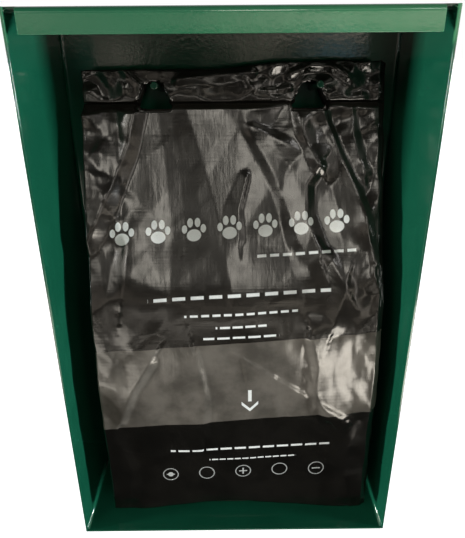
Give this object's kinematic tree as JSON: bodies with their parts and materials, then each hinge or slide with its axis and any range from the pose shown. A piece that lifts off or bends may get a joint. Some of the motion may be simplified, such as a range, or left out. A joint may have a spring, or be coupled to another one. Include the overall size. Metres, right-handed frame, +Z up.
{
  "type": "pet waste bag dispenser",
  "caption": "Open-fronted sheet-steel box with two tilted pegs that hold packs of header bags; each bag tears off along its perforated header.",
  "frame": {"origin": "centre of the outer back face, which lies against the wall or post", "axes": "front faces -Y, +X to the right of someone facing the front, +Z up"},
  "size_m": [0.2414, 0.1016, 0.384],
  "materials": {
    "powder_coat": "gloss",
    "bag_film": "gloss",
    "header_card": "matte"
  },
  "bodies": {
    "housing": {"wrap_panel": "powder_coat", "roof_panel": "powder_coat", "floor_panel": "powder_coat", "peg_left": "powder_coat", "peg_right": "powder_coat"},
    "rear_pack": {"rear_pack_card": "header_card", "rear_pack_header": "bag_film", "rear_pack_bags": "bag_film"},
    "front_pack": {"front_pack_card": "header_card", "front_pack_header": "bag_film", "front_pack_bags": "bag_film", "third_bag": "bag_film", "fourth_bag": "bag_film", "fifth_bag": "bag_film", "front_bag_header": "bag_film", "second_bag_header": "bag_film", "third_bag_header": "bag_film", "fourth_bag_header": "bag_film", "fifth_bag_header": "bag_film"},
    "second_bag": {"second_bag": "bag_film"},
    "front_bag": {"front_bag": "bag_film"}
  },
  "joints": [
    {"name": "rear_pack_lift_off", "type": "slide", "parent": "housing", "child": "rear_pack", "axis": [0, -0.9903, 0.1392], "range_m": [0, 0.125]},
    {"name": "front_pack_lift_off", "type": "slide", "parent": "rear_pack", "child": "front_pack", "axis": [0, -0.9903, 0.1392], "range_m": [0, 0.125]},
    {"name": "second_bag_swing", "type": "hinge", "parent": "front_pack", "child": "second_bag", "pos_m": [0.00235, -0.0271, 0.134], "axis": [-1, 0, 0], "range_deg": [0, 15]},
    {"name": "front_bag_swing", "type": "hinge", "parent": "second_bag", "child": "front_bag", "pos_m": [0.00175, -0.028, 0.134], "axis": [-1, 0, 0], "range_deg": [0, 70]}
  ]
}
